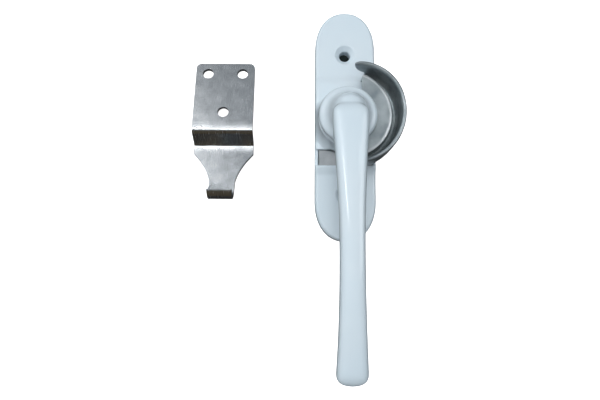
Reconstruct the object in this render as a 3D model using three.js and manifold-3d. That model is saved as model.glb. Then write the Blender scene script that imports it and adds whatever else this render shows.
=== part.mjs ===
// A crescent sash lock with a long lever, and the separate keeper that it hooks.
// Millimetres. +Z points out of the sash to the room, +Y up the sash, +X to the right.
// The origin is where the spindle's axis meets the back face of the housing.
import * as THREE from "three";
import { mergeVertices } from "three/addons/utils/BufferGeometryUtils.js";
import Module from "manifold-3d";

const wasm = await Module();
wasm.setup();

// ---- Driving dimensions ----

const RUNNING = 0.05; // radial clearance of a turning fit
const SEAT = 0.05; // between two pieces that rest on each other
const THROUGH = 100; // longer than any piece, for cutters

// Housing
const HOUSING_LENGTH = 98;
const HOUSING_WIDTH = 25.2;
const END_LENGTH = 17; // how far each rounded end reaches past the straight sides
const END_FULLNESS = 2.2; // 2 would be an ellipse
const FACE = 6; // height of the housing's front face
const PLATFORM_TOP = 7; // height of the raised middle
const PLATFORM_UPPER_Y = 17;
const PLATFORM_LOWER_Y = -18.3;
const PLATFORM_SLOPE = 4; // length of the slope at each end of the raised middle
const EDGE_ROUND = 1.2;
const WALL = 2.2;
const SKIN = 1.7; // thickness of the face over the end pockets
const BOSS_RADIUS = 11.4;
const BOSS_FOOT_RADIUS = 14; // cut off by the housing's sides
const BOSS_TOP = 13.6;
const SCREW_PITCH = 60;
const SCREW_HOLE_RADIUS = 2.3;
const COUNTERSINK_RADIUS = 4.2;
const SCREW_BOSS_RADIUS = 6;
const SCREW_HOLE_SIDES = 32;

// Mechanism in the back of the housing
const RECESS_HALF_WIDTH = 11.2;
const RECESS_BOTTOM = -18.4; // lowest Y of the recess
const SPRING_CEILING = 6.05; // height of the recess above the spring
const LEDGE = 4.2; // height of the ledge over the spring's arms
const LEDGE_Y = 2.6; // the stop ear comes to rest against the ledge here
const ARM_END_Y = 9.4;
const HUB_POCKET_RADIUS = 8.2;
const WINDOW_TOP_Y = -11.4;
const WINDOW_BOTTOM_Y = -17.9;
const BACK_PLATE_THICKNESS = 0.8;
const BACK_PLATE_HALF_WIDTH = 11.4;
const BACK_PLATE_TOP_Y = 14.4;
const BACK_PLATE_BOTTOM_Y = -22.6;
const BACK_PLATE_CORNER = 3;
const RIVET_RADIUS = 1.2;
const RIVET_HEAD_RADIUS = 1.9;
const RIVET_TOP = 3.6;
const RIVET_SIDES = 20;
const RIVET_UPPER_Y = 12;
const RIVET_LOWER_Y = -20.6;

// Spindle and what it carries
const SPINDLE_RADIUS = 3.9;
const SPINDLE_HEAD_RADIUS = 5; // the riveted end at the back
const SPINDLE_HEAD_BOTTOM = 1;
const SPINDLE_HEAD_TOP = 1.7;
const KEYED_BOTTOM = 2.1; // the square stretch that drives the index block and stop washer
const KEYED_TOP = 6.1;
const KEYED_SQUARE = 6.6; // across the flats
const DRIVE_SQUARE = 5.4; // the square end in the cam and the lever
const DRIVE_TOP = 25;
const BUSH_RADIUS = 5.2;
const BUSH_BOTTOM = 6.5;
const INDEX_RADIUS = 6.2; // over the rounded corners
const INDEX_FLATS = 11.2;
const STOP_WASHER_RADIUS = 7.6;
const STOP_EAR_REACH = 10.4;
const STOP_EAR_HALF_WIDTH = 2.4;
const STOP_WASHER_THICKNESS = 1.1;
const WAVE_WASHER_BOTTOM = 2.05;
const WAVE_WASHER_INNER = 4.1;
const WAVE_WASHER_OUTER = 6.2;
const WAVE_WASHER_THICKNESS = 0.35;
const WAVE_WASHER_RISE = 0.3;

// Cam
const CAM_TOP = 16.1;
const CAM_SHEET = 1.7; // thickness of its walls
const GROOVE_BOTTOM = 9.8;
const RIM_TOP = 21;
const CAM_RING_RADIUS = 10.8;
const DISC_RADIUS = 17.85; // on the +X axis
const DISC_SPIRAL = 0.95; // growth per radian
const RIM_RADIUS = 22.6; // on the +X axis
const RIM_SPIRAL = 1.6;
const NOSE_START = 22; // degrees; past here the nose bends in
const NOSE_END = 84;
const NOSE_BEND = 3.9; // how far in the nose's end is
const NOSE_CUT_X = 8.4; // the cut under the nose is a quarter ellipse that starts here
const NOSE_CUT_LENGTH = 5.8;
const NOSE_CUT_DEPTH = 8.2; // below the top of the rim
const HEEL_START = -20; // degrees; past here the heel bends in
const HEEL = -78;
const HEEL_BEND = 0.4;
const PLATE_BOTTOM = CAM_TOP - CAM_SHEET;
const DISC_EDGE_X = 5.9; // the disc stops on this upright line
const DISC_CORNER = 1;

// Lever
const FLANGE_RADIUS = 11.6;
const FLANGE_BOTTOM = 16.4;
const FLANGE_TOP = 20;
const DOME_RADIUS = 8.9; // where the hub rises out of the flange
const DOME_TOP = 29;
const LEVER_THICKNESS = 7;
const LEVER_HEAD_Y = 1.9;
const LEVER_TIP_Y = -100.2;
// Along the lever: Y, half its width, and the height of its middle.
const LEVER_STATIONS = [
  [LEVER_HEAD_Y, 6.9, 27.8],
  [-8, 6.7, 28.5],
  [-18, 5.95, 29.3],
  [-40, 4.8, 30.6],
  [-62, 4.65, 30.9],
  [-82, 5.1, 29.9],
  [LEVER_TIP_Y, 6, 27.3],
];
const LEVER_END_ROUND = 4.4;
const LEVER_END_FULLNESS = 2.3;
const PIN_RADIUS = 0.9;
const PIN_Y = 7;
const PIN_TOP = 19.3;

// Keeper
const SHEET = 1.5;
const KEEPER_WIDTH = 25.2;
const KEEPER_X = -51.1;
const KEEPER_TOP_Y = 27.6;
const MOUNTING_LEG = 27.5; // flat length of the plate with the holes
const EASE_ANGLE = 9; // each plate eases into the step in a wide bend
const EASE_RADIUS = 22;
const STEP_ANGLE = 66; // degrees
const STEP_LEG = 5.5;
const HOOK_LEG = 17;
const BEND_RADIUS = 1.7; // to the middle of the sheet
const HOOK_RADIUS = 3;
const HOOK_ANGLE = 165;
const TONGUE_LEG = 2.5;
const TONGUE_ROUND = 2.4; // how far its rounded end reaches
const SHOULDER_AT = 39.2; // from the keeper's top edge
const NECK_AT = 51.5;
const NECK_HALF_WIDTH = 5.4;
const HOOK_HALF_WIDTH = 4.9;
const TONGUE_HALF_WIDTH = 4.5;
const KEEPER_HOLE_RADIUS = 2.3;
const KEEPER_HOLES = [[-7.4, 5], [7.4, 5], [0, 23.4]]; // across, and down from the top edge
const KEEPER_CORNER = 2.2;

// ---- Materials ----

const finish = (color, roughness, metalness) =>
  new THREE.MeshStandardMaterial({ color, roughness, metalness });
const WHITE_PAINT = [0xdde8ee, 0.35, 0];
const ZINC = [0x8f9aa3, 0.38, 0.9];
const STAINLESS = [0xaab2b8, 0.3, 1];
const SPRING_STEEL = [0x8a9399, 0.45, 0.9];
const STEEL = [0x9aa1a6, 0.4, 0.9];
const BRONZE = [0xa8804a, 0.45, 0.8];
const NYLON = [0x3c4044, 0.6, 0];

// ---- Solids ----

function toSolid(geometry) {
  const bare = geometry.clone();
  bare.deleteAttribute("normal");
  bare.deleteAttribute("uv");
  const merged = mergeVertices(bare, 1e-4);
  const corners = merged.index.array;
  const triangles = [];
  for (let i = 0; i < corners.length; i += 3) {
    const [a, b, c] = corners.slice(i, i + 3);
    if (a !== b && b !== c && c !== a) triangles.push(a, b, c);
  }
  return new wasm.Manifold(new wasm.Mesh({
    numProp: 3,
    vertProperties: Float32Array.from(merged.attributes.position.array),
    triVerts: Uint32Array.from(triangles),
  }));
}

function toGeometry(solid) {
  const mesh = solid.getMesh();
  const geometry = new THREE.BufferGeometry();
  geometry.setAttribute("position", new THREE.BufferAttribute(mesh.vertProperties, 3));
  geometry.setIndex(new THREE.BufferAttribute(mesh.triVerts, 1));
  geometry.computeVertexNormals();
  return geometry;
}

// A straight prism of a shape in XY, from one height to another.
function prism(shape, bottom, top, curveSegments = 24) {
  const options = { depth: top - bottom, bevelEnabled: false, curveSegments };
  const geometry = new THREE.ExtrudeGeometry(shape, options);
  geometry.translate(0, 0, bottom);
  return toSolid(geometry);
}

function cylinder(radius, bottom, top, x = 0, y = 0, segments = 40) {
  return cone(radius, radius, bottom, top, x, y, segments);
}

function cone(bottomRadius, topRadius, bottom, top, x = 0, y = 0, segments = 40) {
  const geometry = new THREE.CylinderGeometry(topRadius, bottomRadius, top - bottom, segments);
  geometry.rotateX(Math.PI / 2);
  geometry.translate(x, y, (bottom + top) / 2);
  return toSolid(geometry);
}

function block(xLow, xHigh, yLow, yHigh, zLow, zHigh) {
  const geometry = new THREE.BoxGeometry(xHigh - xLow, yHigh - yLow, zHigh - zLow);
  geometry.translate((xLow + xHigh) / 2, (yLow + yHigh) / 2, (zLow + zHigh) / 2);
  return toSolid(geometry);
}

// A turned solid about Z. The profile holds [radius, height] points from the lower end up.
function turned(profile, segments = 48) {
  const points = profile.map(([radius, height]) => new THREE.Vector2(radius, height));
  const geometry = new THREE.LatheGeometry(points, segments);
  geometry.rotateX(Math.PI / 2);
  return toSolid(geometry);
}

function roundedRectangle(xLow, xHigh, yLow, yHigh, corner) {
  const shape = new THREE.Shape();
  shape.absarc(xHigh - corner, yHigh - corner, corner, 0, Math.PI / 2);
  shape.absarc(xLow + corner, yHigh - corner, corner, Math.PI / 2, Math.PI);
  shape.absarc(xLow + corner, yLow + corner, corner, Math.PI, 1.5 * Math.PI);
  shape.absarc(xHigh - corner, yLow + corner, corner, 1.5 * Math.PI, 2 * Math.PI);
  return shape;
}

const radians = THREE.MathUtils.degToRad;
const polar = (radius, angle) =>
  new THREE.Vector2(radius * Math.cos(angle), radius * Math.sin(angle));

// ---- Housing ----

// The outline has straight sides and superelliptic ends, drawn in by an inset.
function housingOutline(inset = 0) {
  const halfWidth = HOUSING_WIDTH / 2 - inset;
  const endLength = END_LENGTH - inset;
  const straight = HOUSING_LENGTH / 2 - END_LENGTH;
  const steps = 28;
  const power = (value) => Math.sign(value) * Math.abs(value) ** (2 / END_FULLNESS);
  const points = [];
  for (const end of [1, -1]) {
    for (let step = 0; step <= steps; step++) {
      const angle = (Math.PI * step) / steps;
      const x = end * halfWidth * power(Math.cos(angle));
      const y = end * (straight + endLength * power(Math.sin(angle)));
      points.push(new THREE.Vector2(x, y));
    }
  }
  return new THREE.Shape(points);
}

// The housing's outline as a prism whose front edge is rounded over.
function roundedHousingPrism(top) {
  const options = {
    depth: top - EDGE_ROUND,
    bevelThickness: EDGE_ROUND,
    bevelSize: EDGE_ROUND,
    bevelOffset: -EDGE_ROUND,
    bevelSegments: 3,
  };
  const geometry = new THREE.ExtrudeGeometry(housingOutline(), options);
  const bottom = block(-THROUGH, THROUGH, -THROUGH, THROUGH, -THROUGH, 0);
  return toSolid(geometry).subtract(bottom);
}

// The raised middle is a low ridge across the housing with sloping ends.
function platform() {
  const lower = PLATFORM_LOWER_Y - PLATFORM_SLOPE;
  const upper = PLATFORM_UPPER_Y + PLATFORM_SLOPE;
  const ridge = new THREE.Shape([
    new THREE.Vector2(lower, 0),
    new THREE.Vector2(upper, 0),
    new THREE.Vector2(upper, FACE - 0.05),
    new THREE.Vector2(PLATFORM_UPPER_Y, PLATFORM_TOP + 0.05),
    new THREE.Vector2(PLATFORM_LOWER_Y, PLATFORM_TOP + 0.05),
    new THREE.Vector2(lower, FACE - 0.05),
  ]);
  const options = { depth: 2 * HOUSING_WIDTH, bevelEnabled: false };
  const geometry = new THREE.ExtrudeGeometry(ridge, options);
  geometry.translate(0, 0, -HOUSING_WIDTH);
  geometry.rotateX(Math.PI / 2);
  geometry.rotateZ(Math.PI / 2);
  return toSolid(geometry).intersect(roundedHousingPrism(PLATFORM_TOP));
}

function screwHole(y) {
  const above = 0.4;
  const mouth = COUNTERSINK_RADIUS + above;
  const bottom = FACE - (COUNTERSINK_RADIUS - SCREW_HOLE_RADIUS);
  const through = cylinder(SCREW_HOLE_RADIUS, -1, FACE + 1, 0, y, SCREW_HOLE_SIDES);
  const sink = cone(SCREW_HOLE_RADIUS, mouth, bottom, FACE + above, 0, y, SCREW_HOLE_SIDES);
  return through.add(sink);
}

// The hollow behind one end of the housing, around its screw boss.
function endPocket(end) {
  const hollow = prism(housingOutline(WALL), -1, FACE - SKIN);
  const nearY = end > 0 ? BACK_PLATE_TOP_Y + WALL : -BACK_PLATE_BOTTOM_Y + WALL;
  const span = end > 0 ? [nearY, THROUGH] : [-THROUGH, -nearY];
  const half = block(-THROUGH, THROUGH, span[0], span[1], -1, FACE);
  const boss = cylinder(SCREW_BOSS_RADIUS, -2, FACE, 0, (end * SCREW_PITCH) / 2, SCREW_HOLE_SIDES);
  return hollow.intersect(half).subtract(boss);
}

// The recess that holds the spring, the stop washer and the index block.
function mechanismRecess() {
  const width = RECESS_HALF_WIDTH;
  const low = block(-width, width, RECESS_BOTTOM, LEDGE_Y, -1, LEDGE);
  const high = block(-width, width, RECESS_BOTTOM, ARM_END_Y, LEDGE - 0.01, SPRING_CEILING);
  const round = cylinder(HUB_POCKET_RADIUS, -1, SPRING_CEILING);
  return low.add(high).add(round);
}

function backPlateOutline(clearance) {
  return roundedRectangle(
    -BACK_PLATE_HALF_WIDTH - clearance,
    BACK_PLATE_HALF_WIDTH + clearance,
    BACK_PLATE_BOTTOM_Y - clearance,
    BACK_PLATE_TOP_Y + clearance,
    BACK_PLATE_CORNER,
  );
}

// The spindle's boss, which flares out into the face.
function spindleBoss() {
  const flare = BOSS_FOOT_RADIUS - BOSS_RADIUS;
  const rise = BOSS_TOP - PLATFORM_TOP;
  const flared = turned([
    [0, FACE - 1],
    [BOSS_FOOT_RADIUS, FACE - 1],
    [BOSS_FOOT_RADIUS, PLATFORM_TOP + 0.05],
    [BOSS_RADIUS + 0.6 * flare, PLATFORM_TOP + 0.2 * rise],
    [BOSS_RADIUS + 0.3 * flare, PLATFORM_TOP + 0.45 * rise],
    [BOSS_RADIUS + 0.08 * flare, PLATFORM_TOP + 0.8 * rise],
    [BOSS_RADIUS, BOSS_TOP],
    [0, BOSS_TOP],
  ], 56);
  return flared.intersect(prism(housingOutline(0.3), 0, THROUGH));
}

function baseHousing() {
  let solid = roundedHousingPrism(FACE).add(platform()).add(spindleBoss());
  solid = solid.subtract(endPocket(1)).subtract(endPocket(-1));
  solid = solid.subtract(mechanismRecess());
  solid = solid.subtract(prism(backPlateOutline(0.1), -1, BACK_PLATE_THICKNESS + 0.1));
  const window = block(-THROUGH, THROUGH, WINDOW_BOTTOM_Y, WINDOW_TOP_Y, SPRING_CEILING, FACE + 2);
  solid = solid.subtract(window);
  solid = solid.subtract(cylinder(BUSH_RADIUS + SEAT, 0, THROUGH));
  for (const y of [RIVET_UPPER_Y, RIVET_LOWER_Y]) {
    solid = solid.subtract(cylinder(RIVET_RADIUS + SEAT, -1, RIVET_TOP + 0.4, 0, y, RIVET_SIDES));
  }
  return solid.subtract(screwHole(SCREW_PITCH / 2)).subtract(screwHole(-SCREW_PITCH / 2));
}

function backPlate() {
  const below = -SEAT;
  const above = BACK_PLATE_THICKNESS + SEAT;
  const mouth = RIVET_HEAD_RADIUS + 2 * SEAT;
  let solid = prism(backPlateOutline(0), 0, BACK_PLATE_THICKNESS);
  for (const y of [RIVET_UPPER_Y, RIVET_LOWER_Y]) {
    solid = solid.subtract(cone(mouth, RIVET_RADIUS + SEAT, below, above, 0, y, RIVET_SIDES));
  }
  return solid;
}

// A countersunk rivet whose head is flush with the back plate.
function backPlateRivet() {
  return turned([
    [0, SEAT],
    [RIVET_HEAD_RADIUS - SEAT, SEAT],
    [RIVET_RADIUS, BACK_PLATE_THICKNESS - SEAT],
    [RIVET_RADIUS, RIVET_TOP],
    [0, RIVET_TOP],
  ], RIVET_SIDES);
}

// ---- Spindle and its parts ----

function squareBar(width, bottom, top) {
  const half = width / 2;
  return block(-half, half, -half, half, bottom, top);
}

// Round where it turns in the bush, square where it drives, with a riveted head at the back.
function spindle() {
  const journalTop = PLATE_BOTTOM - 0.4;
  const round = turned([
    [0, SPINDLE_HEAD_BOTTOM],
    [SPINDLE_HEAD_RADIUS - 0.4, SPINDLE_HEAD_BOTTOM],
    [SPINDLE_HEAD_RADIUS, SPINDLE_HEAD_BOTTOM + 0.4],
    [SPINDLE_HEAD_RADIUS, SPINDLE_HEAD_TOP],
    [SPINDLE_RADIUS, SPINDLE_HEAD_TOP + 0.3],
    [SPINDLE_RADIUS, journalTop],
    [0, journalTop],
  ]);
  const keyedStretch = block(-THROUGH, THROUGH, -THROUGH, THROUGH, KEYED_BOTTOM, KEYED_TOP);
  const keyed = squareBar(KEYED_SQUARE, KEYED_BOTTOM - 1, KEYED_TOP + 1).intersect(round);
  const drive = squareBar(DRIVE_SQUARE, journalTop - 0.2, DRIVE_TOP);
  return round.subtract(keyedStretch).add(keyed).add(drive);
}

function spindleBush() {
  const body = cylinder(BUSH_RADIUS, BUSH_BOTTOM, BOSS_TOP);
  return body.subtract(cylinder(SPINDLE_RADIUS + RUNNING, 0, THROUGH));
}

function thrustWasher() {
  const disc = cylinder(CAM_RING_RADIUS - 0.3, BOSS_TOP + SEAT, PLATE_BOTTOM - SEAT, 0, 0, 56);
  return disc.subtract(cylinder(SPINDLE_RADIUS + 0.2, 0, THROUGH));
}

// The spindle's keyed part, enlarged for the pieces that it turns.
function keyedHole() {
  const round = cylinder(SPINDLE_RADIUS + SEAT, -1, THROUGH);
  return squareBar(KEYED_SQUARE + 2 * SEAT, -1, THROUGH).intersect(round);
}

function indexBlock() {
  const square = squareBar(INDEX_FLATS, LEDGE + 0.2, SPRING_CEILING - 0.1);
  const body = square.intersect(cylinder(INDEX_RADIUS, 0, THROUGH));
  return body.subtract(keyedHole());
}

function stopWasher() {
  const top = LEDGE - 0.1;
  const bottom = top - STOP_WASHER_THICKNESS;
  const ear = block(-STOP_EAR_REACH, 0, -STOP_EAR_HALF_WIDTH, STOP_EAR_HALF_WIDTH, bottom, top);
  return cylinder(STOP_WASHER_RADIUS, bottom, top).add(ear).subtract(keyedHole());
}

// A washer bent into two waves, which takes up the end play.
function waveWasher() {
  const ring = new THREE.Shape().absarc(0, 0, WAVE_WASHER_OUTER, 0, 2 * Math.PI);
  ring.holes.push(new THREE.Path().absarc(0, 0, WAVE_WASHER_INNER, 0, 2 * Math.PI, true));
  const options = { depth: WAVE_WASHER_THICKNESS, bevelEnabled: false, curveSegments: 24 };
  const geometry = new THREE.ExtrudeGeometry(ring, options);
  const position = geometry.attributes.position;
  for (let i = 0; i < position.count; i++) {
    const angle = Math.atan2(position.getY(i), position.getX(i));
    const lift = (WAVE_WASHER_RISE / 2) * (1 + Math.cos(2 * angle));
    position.setZ(i, position.getZ(i) + WAVE_WASHER_BOTTOM + lift);
  }
  return toSolid(geometry);
}

// A flat fork: its crown crosses the housing's window and its arms run up beside the index block.
function detentSpring() {
  const play = 0.3;
  const outer = RECESS_HALF_WIDTH - play;
  const inner = INDEX_RADIUS + 2 * RUNNING;
  const crownTop = WINDOW_TOP_Y - play;
  const crownBottom = RECESS_BOTTOM + play;
  const shape = new THREE.Shape();
  shape.moveTo(-outer, crownBottom);
  shape.lineTo(outer, crownBottom);
  shape.lineTo(outer, ARM_END_Y - 1.6);
  shape.lineTo(outer - 1.2, ARM_END_Y - 0.4);
  shape.lineTo(inner + 0.8, ARM_END_Y - 0.4);
  shape.lineTo(inner, ARM_END_Y - 1.6);
  shape.lineTo(inner, crownTop + inner);
  shape.absarc(0, crownTop + inner, inner, 0, -Math.PI, true);
  shape.lineTo(-inner, ARM_END_Y - 1.6);
  shape.lineTo(-inner - 0.8, ARM_END_Y - 0.4);
  shape.lineTo(-outer + 1.2, ARM_END_Y - 0.4);
  shape.lineTo(-outer, ARM_END_Y - 1.6);
  return prism(shape, LEDGE + 0.2, SPRING_CEILING - 0.15, 12);
}

// ---- Cam ----

// The square hole that the spindle's end drives, and the hole of the pin beside it.
const driveHole = (top) => squareBar(DRIVE_SQUARE + 2 * SEAT, 0, top);
const pinHole = (top) => cylinder(PIN_RADIUS + SEAT, 0, top, 0, PIN_Y, 16);

const discRadius = (angle) => DISC_RADIUS + DISC_SPIRAL * angle;

// The rim is a spiral that winds in toward its heel, and both its ends bend in.
function rimRadius(angle) {
  const nose = Math.max(0, angle - radians(NOSE_START)) / radians(NOSE_END - NOSE_START);
  const heel = Math.max(0, radians(HEEL_START) - angle) / radians(HEEL_START - HEEL);
  return RIM_RADIUS + RIM_SPIRAL * angle - NOSE_BEND * nose ** 2 - HEEL_BEND * heel ** 2;
}

// A prism between two curves given as radius against angle.
function spiralBand(inner, outer, from, to, bottom, top) {
  const steps = 40;
  const points = [];
  for (let step = 0; step <= steps; step++) {
    const angle = radians(from + ((to - from) * step) / steps);
    points.push(polar(outer(angle), angle));
  }
  for (let step = steps; step >= 0; step--) {
    const angle = radians(from + ((to - from) * step) / steps);
    points.push(polar(inner(angle), angle));
  }
  return prism(new THREE.Shape(points), bottom, top);
}

function crescentCam() {
  const stepInner = (angle) => discRadius(angle) - CAM_SHEET;
  const rimInner = (angle) => rimRadius(angle) - CAM_SHEET;
  const core = () => CAM_RING_RADIUS - 2;
  const plate = spiralBand(core, discRadius, HEEL, NOSE_END, PLATE_BOTTOM, CAM_TOP);
  const step = spiralBand(stepInner, discRadius, HEEL, NOSE_END, GROOVE_BOTTOM, CAM_TOP);
  const floorTop = GROOVE_BOTTOM + CAM_SHEET;
  const floor = spiralBand(stepInner, rimRadius, HEEL, NOSE_END, GROOVE_BOTTOM, floorTop);
  const rim = spiralBand(rimInner, rimRadius, HEEL, NOSE_END, GROOVE_BOTTOM, RIM_TOP);
  const ring = cylinder(CAM_RING_RADIUS, PLATE_BOTTOM, CAM_TOP, 0, 0, 56);
  let solid = plate.add(step).add(floor).subtract(openMouth());
  solid = solid.add(rim.subtract(noseCutter())).add(ring);
  return solid.subtract(driveHole(THROUGH)).subtract(pinHole(THROUGH));
}

// The open part of the crescent, left of the disc's upright edge and its rounded outer corner.
function openMouth() {
  const cornerX = DISC_EDGE_X + DISC_CORNER;
  const outer = discRadius(Math.PI / 3) - DISC_CORNER;
  const cornerY = Math.sqrt(outer ** 2 - cornerX ** 2);
  const touch = Math.atan2(cornerY, cornerX);
  const endX = cornerX + DISC_CORNER * Math.cos(touch);
  const mouth = new THREE.Shape();
  mouth.moveTo(-THROUGH, 0);
  mouth.lineTo(DISC_EDGE_X, 0);
  mouth.absarc(cornerX, cornerY, DISC_CORNER, Math.PI, touch, true);
  mouth.lineTo(endX, THROUGH);
  mouth.lineTo(-THROUGH, THROUGH);
  return prism(mouth, 0, THROUGH, 8);
}

// Cuts the underside of the nose away along a quarter ellipse.
function noseCutter() {
  const bottom = GROOVE_BOTTOM - 1;
  const cut = new THREE.Shape();
  cut.moveTo(-NOSE_CUT_X, bottom);
  cut.lineTo(NOSE_CUT_X, bottom);
  cut.absellipse(NOSE_CUT_X, RIM_TOP, NOSE_CUT_LENGTH, NOSE_CUT_DEPTH, -Math.PI / 2, -Math.PI, true, 0);
  cut.lineTo(NOSE_CUT_X - NOSE_CUT_LENGTH, RIM_TOP + 1);
  cut.lineTo(-NOSE_CUT_X, RIM_TOP + 1);
  const depth = 20;
  const options = { depth, bevelEnabled: false, curveSegments: 10 };
  const geometry = new THREE.ExtrudeGeometry(cut, options);
  geometry.rotateX(Math.PI / 2);
  geometry.translate(0, 10 + depth, 0);
  return toSolid(geometry);
}

// ---- Lever ----

// The lever's half width and middle height at Y, on a smooth curve through its stations.
function leverSection(y) {
  const stations = LEVER_STATIONS.map((station) => new THREE.Vector3(...station));
  const curve = new THREE.CatmullRomCurve3(stations);
  let near = 0;
  let far = 1;
  for (let halving = 0; halving < 20; halving++) {
    const middle = (near + far) / 2;
    if (curve.getPoint(middle).x > y) near = middle;
    else far = middle;
  }
  const point = curve.getPoint(near);
  return { halfWidth: point.y, middle: point.z };
}

// The share of its full section that the lever has at a distance from one end.
function endRounding(distance) {
  const short = THREE.MathUtils.clamp(1 - distance / LEVER_END_ROUND, 0, 1);
  return (1 - short ** LEVER_END_FULLNESS) ** (1 / LEVER_END_FULLNESS);
}

// The bar of the lever: a cylinder along Y, reshaped ring by ring to rounded bar sections.
function leverBar() {
  const length = LEVER_HEAD_Y - LEVER_TIP_Y;
  const geometry = new THREE.CylinderGeometry(1, 1, 1, 24, 30);
  const position = geometry.attributes.position;
  const squarish = (value) => Math.sign(value) * Math.abs(value) ** 0.65;
  const endShare = 0.3; // of the full section, on the flat of each end
  for (let i = 0; i < position.count; i++) {
    const along = (1 - Math.cos(Math.PI * (position.getY(i) + 0.5))) / 2;
    const y = LEVER_TIP_Y + length * along;
    const share = Math.max(endShare, endRounding(Math.min(y - LEVER_TIP_Y, LEVER_HEAD_Y - y)));
    const { halfWidth, middle } = leverSection(y);
    const x = share * halfWidth * squarish(position.getX(i));
    const z = middle + ((share * LEVER_THICKNESS) / 2) * squarish(position.getZ(i));
    position.setXYZ(i, x, y, z);
  }
  return toSolid(geometry);
}

function leverHandle() {
  const rise = DOME_TOP - FLANGE_TOP;
  const hub = turned([
    [0, FLANGE_BOTTOM],
    [FLANGE_RADIUS - 0.5, FLANGE_BOTTOM],
    [FLANGE_RADIUS, FLANGE_BOTTOM + 0.5],
    [FLANGE_RADIUS, FLANGE_TOP - 0.9],
    [FLANGE_RADIUS - 0.8, FLANGE_TOP],
    [DOME_RADIUS, FLANGE_TOP + 0.1],
    [DOME_RADIUS - 1, FLANGE_TOP + 0.1 * rise],
    [DOME_RADIUS - 1.9, FLANGE_TOP + 0.3 * rise],
    [DOME_RADIUS - 2.6, FLANGE_TOP + 0.6 * rise],
    [DOME_RADIUS - 4, FLANGE_TOP + 0.87 * rise],
    [2.4, DOME_TOP],
    [0, DOME_TOP],
  ]);
  const solid = hub.add(leverBar());
  return solid.subtract(driveHole(DRIVE_TOP + 0.3)).subtract(pinHole(PIN_TOP + 0.3));
}

// A pin through the cam into the lever's flange, so that they turn as one.
function drivePin() {
  return cylinder(PIN_RADIUS, PLATE_BOTTOM, PIN_TOP, 0, PIN_Y, 16);
}

// ---- Keeper ----

// Follows the middle of a bent sheet: straight legs and round bends, drawn with a heading.
class SheetPath {
  constructor() {
    this.points = [new THREE.Vector2(0, 0)];
    this.heading = 0;
  }

  forward(distance) {
    this.points.push(this.points.at(-1).clone().add(polar(distance, this.heading)));
    return this;
  }

  turn(degrees, radius) {
    const steps = Math.max(3, Math.round(Math.abs(degrees) / 15));
    const step = radians(degrees) / steps;
    const chord = 2 * radius * Math.sin(Math.abs(step) / 2);
    for (let i = 0; i < steps; i++) {
      this.heading += step / 2;
      this.forward(chord);
      this.heading += step / 2;
    }
    return this;
  }

  // The closed outline of a sheet of this thickness around the path.
  outline(thickness) {
    const last = this.points.length - 1;
    const side = (sign) => this.points.map((point, i) => {
      const before = this.points[Math.max(0, i - 1)];
      const after = this.points[Math.min(last, i + 1)];
      const along = after.clone().sub(before).normalize();
      const across = new THREE.Vector2(-along.y, along.x);
      return point.clone().addScaledVector(across, (sign * thickness) / 2);
    });
    return new THREE.Shape([...side(-1), ...side(1).reverse()]);
  }
}

// The keeper's blank seen square on: x across it, y down from its top edge as a negative.
function keeperBlank(length) {
  const half = KEEPER_WIDTH / 2;
  const shape = new THREE.Shape();
  shape.absarc(half - KEEPER_CORNER, -KEEPER_CORNER, KEEPER_CORNER, 0, Math.PI / 2);
  shape.absarc(KEEPER_CORNER - half, -KEEPER_CORNER, KEEPER_CORNER, Math.PI / 2, Math.PI);
  shape.lineTo(-half, -SHOULDER_AT);
  shape.quadraticCurveTo(-NECK_HALF_WIDTH - 1.4, -SHOULDER_AT - 6.2, -NECK_HALF_WIDTH, -NECK_AT);
  shape.lineTo(-HOOK_HALF_WIDTH, -length);
  shape.lineTo(HOOK_HALF_WIDTH, -length);
  shape.lineTo(NECK_HALF_WIDTH, -NECK_AT);
  shape.quadraticCurveTo(NECK_HALF_WIDTH + 1.4, -SHOULDER_AT - 6.2, half, -SHOULDER_AT);
  for (const [x, down] of KEEPER_HOLES) {
    shape.holes.push(new THREE.Path().absarc(x, -down, KEEPER_HOLE_RADIUS, 0, 2 * Math.PI, true));
  }
  return shape;
}

// Trims the corners of the tongue to a half round.
function tongueTrim(tipY, bottom, top) {
  const half = TONGUE_HALF_WIDTH;
  const shoulderY = tipY - TONGUE_ROUND;
  const shape = new THREE.Shape();
  shape.moveTo(-9, shoulderY);
  shape.lineTo(-half, shoulderY);
  shape.absellipse(0, shoulderY, half, TONGUE_ROUND, Math.PI, 0, true);
  shape.lineTo(9, shoulderY);
  shape.lineTo(9, tipY + 2);
  shape.lineTo(-9, tipY + 2);
  return prism(shape, bottom, top, 10);
}

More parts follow.
